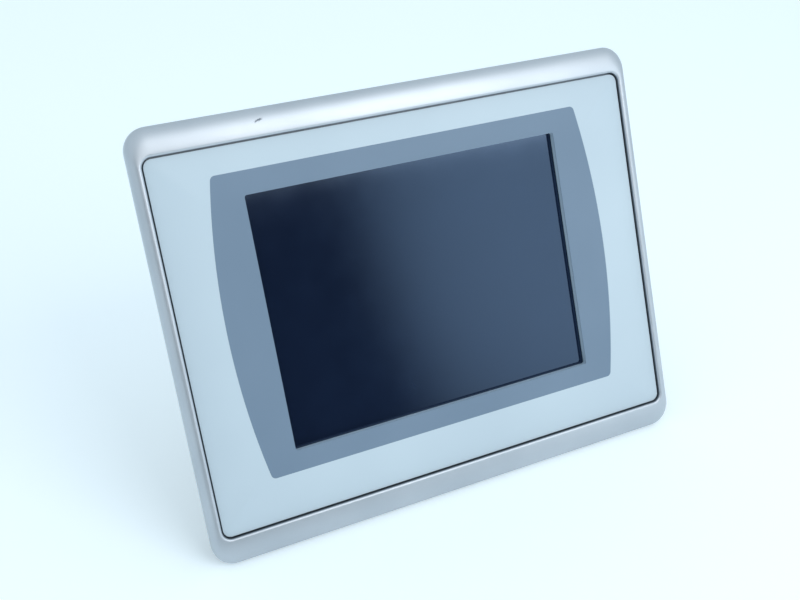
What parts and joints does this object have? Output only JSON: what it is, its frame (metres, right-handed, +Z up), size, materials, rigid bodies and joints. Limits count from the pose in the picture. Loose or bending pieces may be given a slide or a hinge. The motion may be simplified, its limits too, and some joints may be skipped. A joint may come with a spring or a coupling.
{
  "type": "hmi touch panel",
  "caption": "Panel-mounted operator terminal: silver bullnose bezel, pale label with a dark touch screen, gasket, rear housing and a logic box with sockets, battery door and memory card.",
  "frame": {"origin": "centre of the panel cut-out, in the plane where the rear face of the bezel seats on the panel", "axes": "+X to the right as the user sees the screen, +Y to the rear through the panel, +Z up; the screen faces -Y"},
  "size_m": [0.335, 0.0671, 0.2656],
  "materials": {
    "silver_paint": "satin silver paint on a cast frame",
    "label_film": "matt printed film, pale blue-grey with a slate border round the screen",
    "black_rubber": "closed-cell foam rubber",
    "lip_plastic": "moulded plastic",
    "dark_glass": "glossy dark glass of a screen that is off",
    "clear_acrylic": "clear moulded acrylic",
    "lamp_glass": "thin white lamp tube",
    "zinc_steel": "zinc-plated folded sheet",
    "screw_steel": "bright machine screw",
    "charcoal_plastic": "finely textured moulded plastic",
    "black_plastic": "moulded plastic",
    "green_board": "solder-masked circuit board",
    "green_plug": "moulded green terminal block",
    "aluminium": "extruded aluminium",
    "amber_film": "polyimide flat cable",
    "nickel": "nickel-plated steel"
  },
  "bodies": {
    "terminal": {"bezel": "silver_paint", "panel_gasket": "black_rubber", "front_label": "label_film", "window_lip": "lip_plastic", "touch_screen": "dark_glass", "screen_seal": "black_rubber", "lcd_front_frame": "zinc_steel", "lcd_panel": "dark_glass", "light_guide": "clear_acrylic", "lamp_upper": "lamp_glass", "lamp_lower": "lamp_glass", "lcd_rear_tray": "zinc_steel", "display_chassis": "zinc_steel", "chassis_screw_1": "screw_steel", "chassis_screw_2": "screw_steel", "chassis_screw_3": "screw_steel", "chassis_screw_4": "screw_steel", "inverter_board": "green_board", "touch_controller_board": "green_board", "interface_board": "green_board", "display_connector": "black_plastic", "display_ribbon": "amber_film", "rear_housing": "charcoal_plastic", "housing_screw_1": "screw_steel", "housing_screw_2": "screw_steel", "housing_screw_3": "screw_steel", "housing_screw_4": "screw_steel", "housing_screw_5": "screw_steel", "housing_screw_6": "screw_steel", "earth_screw": "nickel", "logic_board": "green_board", "board_standoff_1": "nickel", "board_standoff_2": "nickel", "board_standoff_3": "nickel", "board_standoff_4": "nickel", "heat_sink": "aluminium", "memory_module": "green_board", "battery_holder": "black_plastic", "backup_battery": "nickel", "card_socket": "black_plastic", "network_jack": "nickel", "usb_port_1": "nickel", "usb_port_2": "nickel", "serial_connector": "nickel", "power_header": "green_plug", "reset_switch": "black_plastic", "logic_cover": "zinc_steel", "battery_door_pin": "screw_steel", "cover_screw_1": "screw_steel", "cover_screw_2": "screw_steel", "cover_screw_3": "screw_steel", "cover_screw_4": "screw_steel"},
    "memory_card": {"memory_card": "charcoal_plastic"},
    "power_plug": {"power_plug": "green_plug"},
    "reset_button": {"reset_button": "black_plastic"},
    "battery_door": {"battery_door": "charcoal_plastic"}
  },
  "joints": [
    {"name": "card_slide", "type": "slide", "parent": "terminal", "child": "memory_card", "axis": [1, 0, 0], "range_m": [0, 0.037]},
    {"name": "plug_pull", "type": "slide", "parent": "terminal", "child": "power_plug", "axis": [0, 0, -1], "range_m": [0, 0.012]},
    {"name": "reset_press", "type": "slide", "parent": "terminal", "child": "reset_button", "axis": [0, 0, 1], "range_m": [0, 0.0012], "stiffness_N_per_m": 600, "springref_m": -0.001},
    {"name": "battery_door_swing", "type": "hinge", "parent": "terminal", "child": "battery_door", "pos_m": [-0.086, 0.0552, -0.015], "axis": [0, 0, 1], "range_deg": [0, 110]}
  ]
}
